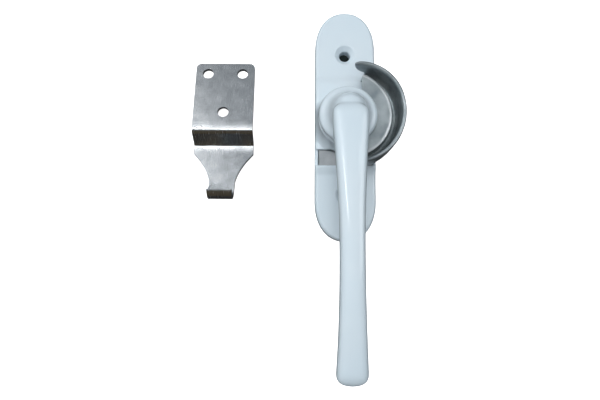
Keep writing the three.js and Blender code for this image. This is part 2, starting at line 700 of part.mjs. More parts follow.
// The keeper lies on its top edge and its lower bend, so its plates slope.
function keeper() {
  const path = new SheetPath();
  const sharp = STEP_ANGLE - EASE_ANGLE;
  path.forward(MOUNTING_LEG).turn(-EASE_ANGLE, EASE_RADIUS).turn(-sharp, BEND_RADIUS);
  path.forward(STEP_LEG).turn(sharp, BEND_RADIUS);
  const floor = path.points.at(-1).clone();
  path.turn(EASE_ANGLE, EASE_RADIUS).forward(HOOK_LEG);
  path.turn(HOOK_ANGLE, HOOK_RADIUS).forward(TONGUE_LEG);
  const length = Math.max(...path.points.map((point) => point.x)) + SHEET;
  const tip = path.points.at(-1);

  const options = { depth: KEEPER_WIDTH + 2, bevelEnabled: false };
  const geometry = new THREE.ExtrudeGeometry(path.outline(SHEET), options);
  geometry.translate(0, 0, -options.depth / 2);
  geometry.rotateX(Math.PI / 2);
  geometry.rotateZ(-Math.PI / 2);
  let solid = toSolid(geometry).intersect(prism(keeperBlank(length), -THROUGH, THROUGH, 10));
  solid = solid.subtract(tongueTrim(-tip.x, tip.y - SHEET, tip.y + SHEET));

  const slope = Math.atan2(-floor.y, floor.x);
  const lie = toGeometry(solid);
  lie.translate(0, 0, SHEET / 2);
  lie.rotateX(-slope);
  lie.computeBoundingBox();
  lie.translate(KEEPER_X, KEEPER_TOP_Y - lie.boundingBox.max.y, -lie.boundingBox.min.z);
  return lie;
}

// ---- Assembly ----

const lock = new THREE.Group();

function place(name, shape, [color, roughness, metalness]) {
  const geometry = shape.isBufferGeometry ? shape : toGeometry(shape);
  const mesh = new THREE.Mesh(geometry, finish(color, roughness, metalness));
  mesh.name = name;
  lock.add(mesh);
  return mesh;
}

place("base_housing", baseHousing(), WHITE_PAINT);
place("back_plate", backPlate(), STEEL);
place("back_plate_rivet_upper", backPlateRivet(), STEEL).position.y = RIVET_UPPER_Y;
place("back_plate_rivet_lower", backPlateRivet(), STEEL).position.y = RIVET_LOWER_Y;
place("detent_spring", detentSpring(), SPRING_STEEL);
place("spindle_bush", spindleBush(), BRONZE);
place("spindle", spindle(), STEEL);
place("index_block", indexBlock(), STEEL);
place("stop_washer", stopWasher(), STEEL);
place("wave_washer", waveWasher(), SPRING_STEEL);
place("thrust_washer", thrustWasher(), NYLON);
place("crescent_cam", crescentCam(), ZINC);
place("lever_handle", leverHandle(), WHITE_PAINT);
place("drive_pin", drivePin(), ZINC);
place("keeper", keeper(), STAINLESS);

export default lock;
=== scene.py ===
"""A crescent sash lock and its keeper, lying on a pale floor: white paint, plated cam, brushed sheet."""
import math

import bmesh
import bpy
from mathutils import Matrix, Vector


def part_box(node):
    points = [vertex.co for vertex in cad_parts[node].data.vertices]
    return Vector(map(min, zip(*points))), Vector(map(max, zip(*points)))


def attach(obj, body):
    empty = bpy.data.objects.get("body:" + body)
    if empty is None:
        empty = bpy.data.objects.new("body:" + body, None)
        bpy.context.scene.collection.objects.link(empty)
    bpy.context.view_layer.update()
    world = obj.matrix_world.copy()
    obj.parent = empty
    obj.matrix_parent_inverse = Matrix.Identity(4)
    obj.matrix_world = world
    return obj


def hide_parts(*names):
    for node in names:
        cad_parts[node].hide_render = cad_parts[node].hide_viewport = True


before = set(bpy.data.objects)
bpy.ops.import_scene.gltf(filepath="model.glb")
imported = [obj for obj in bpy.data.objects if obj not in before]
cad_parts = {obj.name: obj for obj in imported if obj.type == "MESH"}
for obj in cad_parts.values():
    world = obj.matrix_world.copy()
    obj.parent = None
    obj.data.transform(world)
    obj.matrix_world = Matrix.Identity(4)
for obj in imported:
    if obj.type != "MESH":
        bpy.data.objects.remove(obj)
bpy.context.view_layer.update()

MM = 0.001

# ---- Sizes, in millimetres, in the frame of the CAD model ----


def box_mm(node):
    """The lowest and highest corner of a CAD node."""
    low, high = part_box(node)
    return low / MM, high / MM


_, housing_high = box_mm("base_housing")
cam_low, cam_high = box_mm("crescent_cam")
_, keeper_high = box_mm("keeper")
plate_low, plate_high = box_mm("back_plate")
spring_low, spring_high = box_mm("detent_spring")
_, bush_high = box_mm("spindle_bush")

# Housing
END_STEPS = 55
SIDE_STEPS = 100
END_LENGTH = 17
END_FULLNESS = 2.2
FACE = 6
PLATFORM_TOP = 7
PLATFORM_UPPER_Y = 17
PLATFORM_LOWER_Y = -18.3
PLATFORM_SLOPE = 4
EDGE_ROUND = 1.3
WALL = 2.2
SKIN = 1.7
BOSS_RADIUS = 11.4
BOSS_FOOT_RADIUS = 14
BOSS_FLARE = (  # share of the flare's width, share of its rise
    (1, 0.01), (0.78, 0.09), (0.6, 0.19), (0.44, 0.31),
    (0.3, 0.45), (0.17, 0.62), (0.06, 0.83), (0, 1),
)
SCREW_PITCH = 60
SCREW_HOLE_RADIUS = 2.3
COUNTERSINK_RADIUS = 4.2
SCREW_BOSS_RADIUS = 6
RECESS_HALF_WIDTH = 11.2
LEDGE = 4.2
LEDGE_Y = 2.6
FACE_RING_GAP = 0.9
HUB_POCKET_RADIUS = 8.2
SEAT_GAP = 0.1
WINDOW_TOP_Y = -11.4
WINDOW_BOTTOM_Y = -17.9
RIVET_RADIUS = 1.2
RIVET_TOP = 3.6
RIVET_SPOTS = (12, -20.6)

# Cam
CAM_TOP = 16.1
CAM_SHEET = 1.7
DISC_RADIUS = 17.85
DISC_SPIRAL = 0.95
DISC_END = 75
RIM_RADIUS = 22.6
RIM_SPIRAL = 1.6
NOSE_START = 22
NOSE_END = 84
NOSE_BEND = 3.9
NOSE_ROUND_START = 75
NOSE_ROUND = 1.4
NOSE_CUT_X = 8.4
NOSE_CUT_LENGTH = 5.8
NOSE_CUT_DEPTH = 8.2
HEEL_START = -20
HEEL = -78
HEEL_BEND = 0.4
DISC_EDGE_X = 5.9
DISC_CORNER = 1
GROOVE_HEIGHT = 2.6
PRESSED_BEND = 1.3
PRESSED_EDGE = 0.6
PRESSED_FOLD = 0.5
CAM_RING_RADIUS = 10.8

# Lever
FLANGE_RADIUS = 11.6
FLANGE_BOTTOM = 16.4
FLANGE_TOP = 20
DOME_TOP = 29
HUB_SWEEP = (  # radius, share of the dome's rise
    (9.9, 0.02), (9.1, 0.07), (8.4, 0.15), (7.8, 0.27), (7.2, 0.43),
    (6.6, 0.60), (5.8, 0.77), (4.4, 0.92), (2.2, 1),
)
LEVER_THICKNESS = 7
LEVER_SQUARENESS = 0.62
LEVER_END_IN_PLAN = (4.4, 2.3)  # reach of the rounding, fullness
LEVER_END_IN_SIDE_VIEW = (5.5, 2)
LEVER_STATIONS = (  # Y, half width, height of the middle
    (1.9, 6.9, 27.8),
    (-8, 6.7, 28.5),
    (-18, 5.95, 29.3),
    (-40, 4.8, 30.6),
    (-62, 4.65, 30.9),
    (-82, 5.1, 29.9),
    (-100.2, 6, 27.3),
)
PIN_Y = 7
PIN_RADIUS = 1
DRIVE_HOLE = 5.5
DRIVE_TOP = 25.3

# Keeper
SHEET = 1.5
KEEPER_WIDTH = 25.2
KEEPER_X = -51.1
MOUNTING_LEG = 27.5
EASE_ANGLE = 9
EASE_RADIUS = 22
STEP_ANGLE = 66
STEP_LEG = 5.5
HOOK_LEG = 17
BEND_RADIUS = 1.7
HOOK_RADIUS = 3
HOOK_ANGLE = 165
TONGUE_LEG = 2.5
TONGUE_ROUND = 2.4
SHOULDER_AT = 39.2
NECK_AT = 51.5
NECK_HALF_WIDTH = 5.4
NECK_BOW = (1.4, 6.2)  # the curve's control point: out from the neck, down from the shoulder
HOOK_HALF_WIDTH = 4.9
TONGUE_HALF_WIDTH = 4.5
KEEPER_HOLES = ((-7.4, 5), (7.4, 5), (0, 23.4))  # X, distance down the sheet
KEEPER_HOLE_RADIUS = 2.3
KEEPER_CORNER = 2.2
KEEPER_EDGE_ROUND = 0.22

# ---- Solids ----


def new_object(name, mesh):
    piece = bpy.data.objects.new(name, mesh)
    bpy.context.scene.collection.objects.link(piece)
    return piece


def solid(name, points, faces):
    """A closed mesh with its faces pointing out."""
    mesh = bpy.data.meshes.new(name)
    mesh.from_pydata([Vector(point) * MM for point in points], [], faces)
    shape = bmesh.new()
    shape.from_mesh(mesh)
    bmesh.ops.remove_doubles(shape, verts=shape.verts, dist=0.001 * MM)
    bmesh.ops.recalc_face_normals(shape, faces=shape.faces)
    shape.to_mesh(mesh)
    shape.free()
    return new_object(name, mesh)


def skin(name, rings, lid=None):
    """A closed solid through rings of points that each go once round it.

    The lid lists the faces that fill the last ring, when it isn't flat.
    """
    count = len(rings[0])
    points = [point for ring in rings for point in ring]
    first = len(points) - count
    faces = [tuple(range(count))]
    for corners in lid or [range(count)]:
        faces.append([first + corner for corner in corners])
    for row in range(len(rings) - 1):
        for i in range(count):
            near, far = row * count + i, row * count + (i + 1) % count
            faces.append((near, far, far + count, near + count))
    return solid(name, points, faces)


def circle(radius, z, x=0, y=0, sides=96):
    turns = [2 * math.pi * i / sides for i in range(sides)]
    return [(x + radius * math.cos(a), y + radius * math.sin(a), z) for a in turns]


def turned(name, profile, x=0, y=0, sides=96):
    """A turned solid about an upright axis, through (radius, height) points."""
    return skin(name, [circle(radius, z, x, y, sides) for radius, z in profile])


def block(name, low, high):
    corners = [(low[0], low[1]), (high[0], low[1]), (high[0], high[1]), (low[0], high[1])]
    return skin(name, [[(x, y, z) for x, y in corners] for z in (low[2], high[2])])


def prism(name, outline, bottom, top):
    return skin(name, [[(x, y, z) for x, y in outline] for z in (bottom, top)])


def settle(piece):
    """Applies the piece's modifiers to its mesh."""
    bpy.context.view_layer.update()
    graph = bpy.context.evaluated_depsgraph_get()
    rough = piece.data
    mesh = bpy.data.meshes.new_from_object(piece.evaluated_get(graph))
    piece.modifiers.clear()
    piece.data = mesh
    bpy.data.meshes.remove(rough)
    return piece


def combine(piece, tool, operation):
    """Joins the tool to the piece or cuts it away, and deletes the tool."""
    change = piece.modifiers.new("combine", "BOOLEAN")
    change.operation = operation
    change.solver = "EXACT"
    change.object = tool
    settle(piece)
    bpy.data.objects.remove(tool)
    return piece


def join(piece, *tools):
    for tool in tools:
        combine(piece, tool, "UNION")
    return piece


def cut(piece, *tools):
    for tool in tools:
        combine(piece, tool, "DIFFERENCE")
    return piece


def cast(piece, voxel, passes, keep):
    """Gives a piece the soft edges and fillets of a casting, and keeps a share of its faces."""
    remesh = piece.modifiers.new("remesh", "REMESH")
    remesh.mode = "VOXEL"
    remesh.voxel_size = voxel * MM
    smooth = piece.modifiers.new("smooth", "SMOOTH")
    smooth.factor = 0.5
    smooth.iterations = passes
    thin = piece.modifiers.new("thin", "DECIMATE")
    thin.ratio = keep
    settle(piece)
    for face in piece.data.polygons:
        face.use_smooth = True
    return piece


def arc(centre_x, centre_y, radius, start, end, steps, height=None):
    """Points on an arc, from start to end in degrees. With a height it is part of an ellipse."""
    height = radius if height is None else height
    angles = [math.radians(start + (end - start) * i / steps) for i in range(steps + 1)]
    return [(centre_x + radius * math.cos(a), centre_y + height * math.sin(a)) for a in angles]


def ramp(value, low, high):
    """0 below low, 1 above high, and a smooth rise between them."""
    share = min(1, max(0, (value - low) / (high - low)))
    return share * share * (3 - 2 * share)


# ---- Housing ----


def signed_power(value, power):
    return math.copysign(abs(value) ** power, value)


def housing_outline(inset):
    """Straight sides and superelliptic ends, drawn in by an inset: down the left and up the right."""
    half_width = housing_high.x - inset
    end_length = END_LENGTH - inset
    straight = housing_high.y - END_LENGTH
    power = 2 / END_FULLNESS
    end = []
    for step in range(END_STEPS + 1):
        angle = math.pi / 2 * step / END_STEPS
        y = straight + end_length * signed_power(math.cos(angle), power)
        end.append((-half_width * signed_power(math.sin(angle), power), y))
    rows = [straight * (1 - 2 * row / SIDE_STEPS) for row in range(1, SIDE_STEPS)]
    left = end + [(-half_width, y) for y in rows] + [(x, -y) for x, y in reversed(end)]
    return left + [(-x, y) for x, y in left[-2:0:-1]]


def strips_across():
    """Fills the housing's outline with faces between the points that face each other."""
    half = 2 * END_STEPS + SIDE_STEPS
    strips = []
    for i in range(half):
        corners = (i, i + 1, 2 * half - i - 1, (2 * half - i) % (2 * half))
        strips.append(list(dict.fromkeys(corners)))
    return strips


def face_height(y):
    """The front face's height: a raised middle with sloping ends."""
    upper = 1 - ramp(y, PLATFORM_UPPER_Y, PLATFORM_UPPER_Y + PLATFORM_SLOPE)
    lower = ramp(y, PLATFORM_LOWER_Y - PLATFORM_SLOPE, PLATFORM_LOWER_Y)
    return FACE + (PLATFORM_TOP - FACE) * upper * lower


def housing_body():
    """The housing's outer form, with its front edge rounded over."""
    rings = [[(x, y, 0) for x, y in housing_outline(0)]]
    round_steps = 8
    for step in range(round_steps + 1):
        angle = math.pi / 2 * step / round_steps
        inset = EDGE_ROUND * (1 - math.cos(angle))
        drop = EDGE_ROUND * (1 - math.sin(angle))
        rings.append([(x, y, face_height(y) - drop) for x, y in housing_outline(inset)])
    inset = EDGE_ROUND
    while inset < housing_high.x - 1:
        inset += FACE_RING_GAP
        rings.append([(x, y, face_height(y)) for x, y in housing_outline(inset)])
    return skin("housing_shell", rings, strips_across())


def boss():
    """The spindle's boss, which flares out into the face and is cut off by the sides."""
    flare = BOSS_FOOT_RADIUS - BOSS_RADIUS
    rise = housing_high.z - PLATFORM_TOP
    profile = [(BOSS_RADIUS + out * flare, PLATFORM_TOP + up * rise) for out, up in BOSS_FLARE]
    flared = turned("boss", [(BOSS_FOOT_RADIUS, FACE - 1)] + profile)
    sides = prism("sides", housing_outline(0.3), 0, housing_high.z + 1)
    return combine(flared, sides, "INTERSECT")


def screw_hole(y):
    sink = COUNTERSINK_RADIUS - SCREW_HOLE_RADIUS
    above = 1
    return turned("screw_hole", [
        (SCREW_HOLE_RADIUS, -1),
        (SCREW_HOLE_RADIUS, FACE - sink),
        (COUNTERSINK_RADIUS, FACE),
        (COUNTERSINK_RADIUS + above, FACE + above),
    ], y=y)


def end_pocket(end):
    """The hollow behind one end of the housing, around its screw boss."""
    hollow = prism("pocket", housing_outline(WALL), -1, FACE - SKIN)
    near = plate_high.y + WALL if end > 0 else WALL - plate_low.y
    far = 2 * housing_high.y
    low_y, high_y = (near, far) if end > 0 else (-far, -near)
    half = block("half", (-far, low_y, -2), (far, high_y, FACE))
    combine(hollow, half, "INTERSECT")
    screw_y = end * SCREW_PITCH / 2
    around = turned("around", [(SCREW_BOSS_RADIUS, -2), (SCREW_BOSS_RADIUS, FACE)], y=screw_y)
    return cut(hollow, around)


def mechanism_recess():
    width = RECESS_HALF_WIDTH
    ceiling = spring_high.z + 0.15
    bottom = spring_low.y - 0.3
    arm_end = spring_high.y + 0.4
    recess = block("recess", (-width, bottom, -1), (width, LEDGE_Y, LEDGE))
    high = block("high", (-width, bottom, LEDGE - 0.01), (width, arm_end, ceiling))
    pocket = turned("hub_pocket", [(HUB_POCKET_RADIUS, -1), (HUB_POCKET_RADIUS, ceiling)])
    return join(recess, high, pocket)


def housing_shell():
    wide = 2 * housing_high.x
    shell = join(housing_body(), boss())
    plate_seat = block(
        "plate_seat",
        (plate_low.x - SEAT_GAP, plate_low.y - SEAT_GAP, -1),
        (plate_high.x + SEAT_GAP, plate_high.y + SEAT_GAP, plate_high.z + SEAT_GAP),
    )
    window = block(
        "window",
        (-wide, WINDOW_BOTTOM_Y, spring_high.z + SEAT_GAP),
        (wide, WINDOW_TOP_Y, PLATFORM_TOP + 1),
    )
    bore = turned("bore", [(bush_high.x + 0.05, 1), (bush_high.x + 0.05, housing_high.z + 1)])
    cut(shell, end_pocket(1), end_pocket(-1), mechanism_recess(), plate_seat, window, bore)
    for y in RIVET_SPOTS:
        cut(shell, turned("rivet_hole", [(RIVET_RADIUS, -1), (RIVET_RADIUS, RIVET_TOP + 0.4)], y=y))
    for end in (1, -1):
        cut(shell, screw_hole(end * SCREW_PITCH / 2))
    return cast(shell, voxel=0.26, passes=4, keep=0.5)


# ---- Cam ----


def disc_radius(angle):
    return DISC_RADIUS + DISC_SPIRAL * angle


def rim_radius(angle):
    """A spiral that winds in toward its heel, with both ends bent in."""
    nose_span = math.radians(NOSE_END - NOSE_START)
    heel_span = math.radians(HEEL_START - HEEL)
    nose = max(0, angle - math.radians(NOSE_START)) / nose_span
    heel = max(0, math.radians(HEEL_START) - angle) / heel_span
    return RIM_RADIUS + RIM_SPIRAL * angle - NOSE_BEND * nose ** 2 - HEEL_BEND * heel ** 2


def swept(name, profile, start, end, steps=90):
    """Sweeps a closed outline of (radius, height) points, which depends on the angle, round Z."""
    rings = []
    for step in range(steps + 1):
        angle = math.radians(start + (end - start) * step / steps)
        ring = [(r * math.cos(angle), r * math.sin(angle), z) for r, z in profile(angle)]
        rings.append(ring)
    return skin(name, rings)


def pressed_profile(angle):
    """Disc, groove and rim as one bent sheet."""
    disc, rim = disc_radius(angle), rim_radius(angle)
    core = CAM_RING_RADIUS - 2
    floor = cam_low.z
    rim_top = cam_high.z
    trough = floor + CAM_SHEET
    under = CAM_TOP - CAM_SHEET
    wall = rim - CAM_SHEET
    inner = disc - CAM_SHEET
    hollow = wall - disc
    near = 0.3 * hollow
    far = 0.65 * hollow
    bend, edge, fold, half = PRESSED_BEND, PRESSED_EDGE, PRESSED_FOLD, CAM_SHEET / 2
    points = [(core, CAM_TOP)]
    points += arc(disc - edge, CAM_TOP - edge, edge, 90, 0, 5)
    points += arc(disc + near, trough + near, near, 180, 270, 4)
    points += arc(wall - far, trough + GROOVE_HEIGHT, far, 270, 360, 6, GROOVE_HEIGHT)
    points += arc(rim - half, rim_top - half, half, 180, 0, 8)
    points += arc(rim - bend, floor + bend, bend, 0, -90, 5)
    points += arc(inner + bend, floor + bend, bend, 270, 180, 5)
    points += arc(inner - fold, under - fold, fold, 0, 90, 4)
    points.append((core, under))
    return points


def nose_profile(angle):
    """The rim alone, a hair thinner than the pressed sheet it continues, and rounded at the tip."""
    top, floor = cam_high.z, cam_low.z + 0.02
    share = min(1, max(0, math.degrees(angle) - NOSE_ROUND_START) / (NOSE_END - NOSE_ROUND_START))
    outer = rim_radius(angle) - 0.02 - NOSE_ROUND * (1 - math.sqrt(1 - share ** 2))
    inner = rim_radius(angle) - CAM_SHEET + 0.02
    half = (outer - inner) / 2
    over = arc(inner + half, top - CAM_SHEET / 2, half, 180, 0, 8, CAM_SHEET / 2)
    return over + [(outer, floor), (inner, floor)]


def nose_cutter():
    """Takes the underside of the nose away along a quarter ellipse."""
    floor, top = cam_low.z - 1, cam_high.z
    steps = 20
    outline = [(-NOSE_CUT_X, floor), (NOSE_CUT_X, floor)]
    for step in range(steps + 1):
        angle = math.pi / 2 * step / steps
        x = NOSE_CUT_X - NOSE_CUT_LENGTH * math.sin(angle)
        outline.append((x, top - NOSE_CUT_DEPTH * math.cos(angle)))
    outline += [(NOSE_CUT_X - NOSE_CUT_LENGTH, top + 1), (-NOSE_CUT_X, top + 1)]
    near, far = 10, 30
    return skin("nose_cutter", [[(x, y, z) for x, z in outline] for y in (near, far)])


def open_mouth():
    """The open part of the crescent, left of the disc's edge and its rounded corner."""
    far = 60
    corner_x = DISC_EDGE_X + DISC_CORNER
    corner_y = math.sqrt((disc_radius(math.pi / 3) - DISC_CORNER) ** 2 - corner_x ** 2)
    touch = math.degrees(math.atan2(corner_y, corner_x))
    edge = [(-far, 0), (DISC_EDGE_X, 0)] + arc(corner_x, corner_y, DISC_CORNER, 180, touch, 12)
    return prism("open_mouth", edge + [(edge[-1][0], far), (-far, far)], 0, far)


def crescent():
    cam = cut(swept("crescent", pressed_profile, HEEL, DISC_END), open_mouth())
    nose = cut(swept("nose", nose_profile, NOSE_START, NOSE_END), nose_cutter())
    under = CAM_TOP - CAM_SHEET
    ring = turned("ring", [(CAM_RING_RADIUS, under), (CAM_RING_RADIUS, CAM_TOP)])
    join(cam, nose, ring)
    half = DRIVE_HOLE / 2
    cut(cam, block("drive", (-half, -half, 0), (half, half, CAM_TOP + 1)))
    cut(cam, turned("pin_hole", [(PIN_RADIUS, 0), (PIN_RADIUS, CAM_TOP + 1)], y=PIN_Y))
    return cast(cam, voxel=0.2, passes=3, keep=0.6)


# ---- Lever ----


def lever_section(y):
    """Half width and middle height of the bar at Y, smoothly through its stations."""
    last = len(LEVER_STATIONS) - 1
    for index in range(last):
        if y >= LEVER_STATIONS[index + 1][0]:
            break
    before = LEVER_STATIONS[max(0, index - 1)]
    near, far = LEVER_STATIONS[index], LEVER_STATIONS[index + 1]
    after = LEVER_STATIONS[min(last, index + 2)]
    span = far[0] - near[0]
    t = (y - near[0]) / span
    values = []
    for k in (1, 2):
        start_slope = (far[k] - before[k]) / (far[0] - before[0]) * span
        end_slope = (after[k] - near[k]) / (after[0] - near[0]) * span
        values.append(
            near[k] * (1 - 3 * t ** 2 + 2 * t ** 3) + far[k] * (3 * t ** 2 - 2 * t ** 3)
            + start_slope * (t - 2 * t ** 2 + t ** 3) + end_slope * (t ** 3 - t ** 2)
        )
    return values


def end_share(distance, reach, fullness):
    """The share of its full size that a section has at a distance from a rounded end."""
    short = max(0, 1 - distance / reach)
    return max(0.02, 1 - short ** fullness) ** (1 / fullness)


def lever_bar():
    head_y, tip_y = LEVER_STATIONS[0][0], LEVER_STATIONS[-1][0]
    rows = 130
    sides = 72
    rings = []
    for row in range(rows + 1):
        along = (1 - math.cos(math.pi * row / rows)) / 2
        y = head_y + (tip_y - head_y) * along
        half_width, middle = lever_section(y)
        distance = min(head_y - y, y - tip_y)
        half_width *= end_share(distance, *LEVER_END_IN_PLAN)
        half_height = LEVER_THICKNESS / 2 * end_share(distance, *LEVER_END_IN_SIDE_VIEW)
        ring = []
        for i in range(sides):
            angle = 2 * math.pi * i / sides
            x = half_width * signed_power(math.cos(angle), LEVER_SQUARENESS)
            z = middle + half_height * signed_power(math.sin(angle), LEVER_SQUARENESS)
            ring.append((x, y, z))
        rings.append(ring)
    return skin("bar", rings)


def hub():
    """A round flange that sweeps up in a hollow curve to the dome under the bar."""
    rise = DOME_TOP - FLANGE_TOP
    profile = [
        (FLANGE_RADIUS - 0.5, FLANGE_BOTTOM),
        (FLANGE_RADIUS, FLANGE_BOTTOM + 0.5),
        (FLANGE_RADIUS, FLANGE_TOP - 1.1),
        (FLANGE_RADIUS - 0.3, FLANGE_TOP - 0.45),
        (FLANGE_RADIUS - 1, FLANGE_TOP),
    ]
    profile += [(radius, FLANGE_TOP + share * rise) for radius, share in HUB_SWEEP]
    return turned("lever", profile)


def lever():
    piece = join(hub(), lever_bar())
    half = DRIVE_HOLE / 2
    cut(piece, block("drive", (-half, -half, 0), (half, half, DRIVE_TOP)))
    cut(piece, turned("pin_hole", [(PIN_RADIUS, 0), (PIN_RADIUS, FLANGE_TOP - 0.4)], y=PIN_Y))
    return cast(piece, voxel=0.3, passes=70, keep=0.8)


# ---- Keeper ----


class SheetPath:
    """Follows the middle of a bent sheet: straight legs and round bends."""

    def __init__(self):
        self.points = [Vector((0, 0))]
        self.heading = 0

    def forward(self, distance):
        step = Vector((math.cos(self.heading), math.sin(self.heading))) * distance
        self.points.append(self.points[-1] + step)

    def turn(self, degrees, radius):
        steps = max(3, round(abs(degrees) / 6))
        step = math.radians(degrees) / steps
        for _ in range(steps):
            self.heading += step / 2
            self.forward(2 * radius * math.sin(abs(step) / 2))
            self.heading += step / 2

    def side(self, offset):
        """The path moved sideways by an offset."""
        last = len(self.points) - 1
        moved = []
        for i, point in enumerate(self.points):
            along = (self.points[min(last, i + 1)] - self.points[max(0, i - 1)]).normalized()
            moved.append(point + Vector((-along.y, along.x)) * offset)
        return moved


def keeper_path():
    path = SheetPath()
    sharp = STEP_ANGLE - EASE_ANGLE
    path.forward(MOUNTING_LEG)
    path.turn(-EASE_ANGLE, EASE_RADIUS)
    path.turn(-sharp, BEND_RADIUS)
    path.forward(STEP_LEG)
    path.turn(sharp, BEND_RADIUS)
    floor = path.points[-1].copy()
    path.turn(EASE_ANGLE, EASE_RADIUS)
    path.forward(HOOK_LEG)
    path.turn(HOOK_ANGLE, HOOK_RADIUS)
    path.forward(TONGUE_LEG)
    return path, floor


def flank(side, length):
    """One long edge of the keeper's blank, from its top corner down."""
    half = KEEPER_WIDTH / 2
    corner = arc(half - KEEPER_CORNER, -KEEPER_CORNER, KEEPER_CORNER, 90, 0, 8)
    start = Vector((half, -SHOULDER_AT))
    control = Vector((NECK_HALF_WIDTH + NECK_BOW[0], -SHOULDER_AT - NECK_BOW[1]))
    end = Vector((NECK_HALF_WIDTH, -NECK_AT))
    curve = []
    steps = 16
    for i in range(steps + 1):
        t = i / steps
        curve.append(start * (1 - t) ** 2 + control * 2 * t * (1 - t) + end * t ** 2)
    points = corner + [(p.x, p.y) for p in curve] + [(HOOK_HALF_WIDTH, -length)]
    return [(side * x, y) for x, y in points]


def tongue_trim(tip):
    """Takes away what is past the half-round end of the tongue, which has its tip at a path point."""
    shoulder_y = -tip.x - TONGUE_ROUND
    beside, past = 2 * TONGUE_HALF_WIDTH, 2 - tip.x
    outline = [(-beside, shoulder_y)]
    outline += arc(0, shoulder_y, TONGUE_HALF_WIDTH, 180, 0, 24, TONGUE_ROUND)
    outline += [(beside, shoulder_y), (beside, past), (-beside, past)]
    return prism("trim", outline, tip.y - SHEET, tip.y + SHEET)


def keeper_sheet():
    path, floor = keeper_path()
    length = max(point.x for point in path.points) + SHEET
    outline = path.side(-SHEET / 2) + path.side(SHEET / 2)[::-1]
    wide = KEEPER_WIDTH / 2 + 1
    sheet = skin("keeper_sheet", [[(x, -p.x, p.y) for p in outline] for x in (-wide, wide)])
    blank = flank(1, length) + flank(-1, length)[::-1]
    far = 60
    combine(sheet, prism("blank", blank, -far, far), "INTERSECT")
    radius = KEEPER_HOLE_RADIUS
    for x, down in KEEPER_HOLES:
        cut(sheet, turned("hole", [(radius, -far), (radius, far)], x=x, y=-down, sides=64))
    cut(sheet, tongue_trim(path.points[-1]))
    ease = sheet.modifiers.new("ease", "BEVEL")
    ease.width = KEEPER_EDGE_ROUND * MM
    ease.segments = 3
    ease.limit_method = "ANGLE"
    ease.angle_limit = math.radians(35)
    settle(sheet)
    lay_down(sheet, math.atan2(-floor.y, floor.x))
    sheet.data.shade_smooth()
    sheet.data.set_sharp_from_angle(angle=math.radians(32))
    flat = sheet.modifiers.new("flat", "WEIGHTED_NORMAL")
    flat.keep_sharp = True
    return sheet


def lay_down(sheet, slope):
    """Tilts the keeper onto its top edge and lower bend, where the CAD keeper lies."""
    sheet.data.transform(Matrix.Translation((0, 0, SHEET / 2 * MM)))
    sheet.data.transform(Matrix.Rotation(-slope, 4, "X"))
    top_y = max(vertex.co.y for vertex in sheet.data.vertices)
    low_z = min(vertex.co.z for vertex in sheet.data.vertices)
    sheet.data.transform(Matrix.Translation((KEEPER_X * MM, keeper_high.y * MM - top_y, -low_z)))


# ---- Materials ----


class Look:
    """A node material built up with short calls."""

    def __init__(self, name, **constants):
        self.material = bpy.data.materials.new(name)
        self.material.use_nodes = True
        self.tree = self.material.node_tree
        self.shader = self.tree.nodes["Principled BSDF"]
        for socket, value in constants.items():
            self.shader.inputs[socket.replace("_", " ")].default_value = value
        self.place = self.node("ShaderNodeTexCoord").outputs["Object"]

    def node(self, kind, inputs=None, **settings):
        made = self.tree.nodes.new(kind)
        for key, value in settings.items():
            setattr(made, key, value)
        for key, value in (inputs or {}).items():
            if isinstance(value, bpy.types.NodeSocket):
                self.tree.links.new(value, made.inputs[key])
            else:
                made.inputs[key].default_value = value
        return made

    def stretched(self, x, y, z):
        """Object coordinates scaled by a factor on each axis."""
        mapping = self.node("ShaderNodeMapping", {"Vector": self.place, "Scale": (x, y, z)})
        return mapping.outputs["Vector"]

    def noise(self, scale, detail=2.0, place=None):
        inputs = {"Vector": place or self.place, "Scale": scale, "Detail": detail}
        return self.node("ShaderNodeTexNoise", inputs).outputs["Fac"]

    def between(self, value, low, high, from_low=0.3, from_high=0.7):
        """Maps a value to a range, and holds it there at both ends."""
        inputs = {
            "Value": value, "From Min": from_low, "From Max": from_high,
            "To Min": low, "To Max": high,
        }
        return self.node("ShaderNodeMapRange", inputs).outputs["Result"]

    def blend(self, share, below, colour):
        """A colour over another one, which may come from other nodes."""
        mix = self.node("ShaderNodeMix", data_type="RGBA")
        self.tree.links.new(share, mix.inputs["Factor"])
        if isinstance(below, bpy.types.NodeSocket):
            self.tree.links.new(below, mix.inputs["A"])
        else:
            mix.inputs["A"].default_value = (*below, 1)
        mix.inputs["B"].default_value = (*colour, 1)
        return mix.outputs["Result"]

    def math(self, operation, *values):
        inputs = dict(enumerate(values))
        return self.node("ShaderNodeMath", inputs, operation=operation).outputs["Value"]

    def drive(self, socket, value):
        self.tree.links.new(value, self.shader.inputs[socket])

    def bump(self, height, strength, distance, below=None):
        inputs = {"Height": height, "Strength": strength, "Distance": distance}
        if below is not None:
            inputs["Normal"] = below
        return self.node("ShaderNodeBump", inputs).outputs["Normal"]


def white_paint():
    """Powder coat: a faint orange peel and a slight drift of tone."""
    look = Look("white_paint", IOR=1.5)
    look.drive("Base Color", look.blend(
        look.between(look.noise(45, 3), 0, 1), (0.63, 0.735, 0.80), (0.67, 0.76, 0.815)))
    look.drive("Roughness", look.between(look.noise(260, 3), 0.10, 0.15))
    peel = look.bump(look.noise(850, 2), 0.06, 0.0002)
    look.drive("Normal", look.bump(look.noise(170, 2), 0.05, 0.0006, peel))
    return look.material


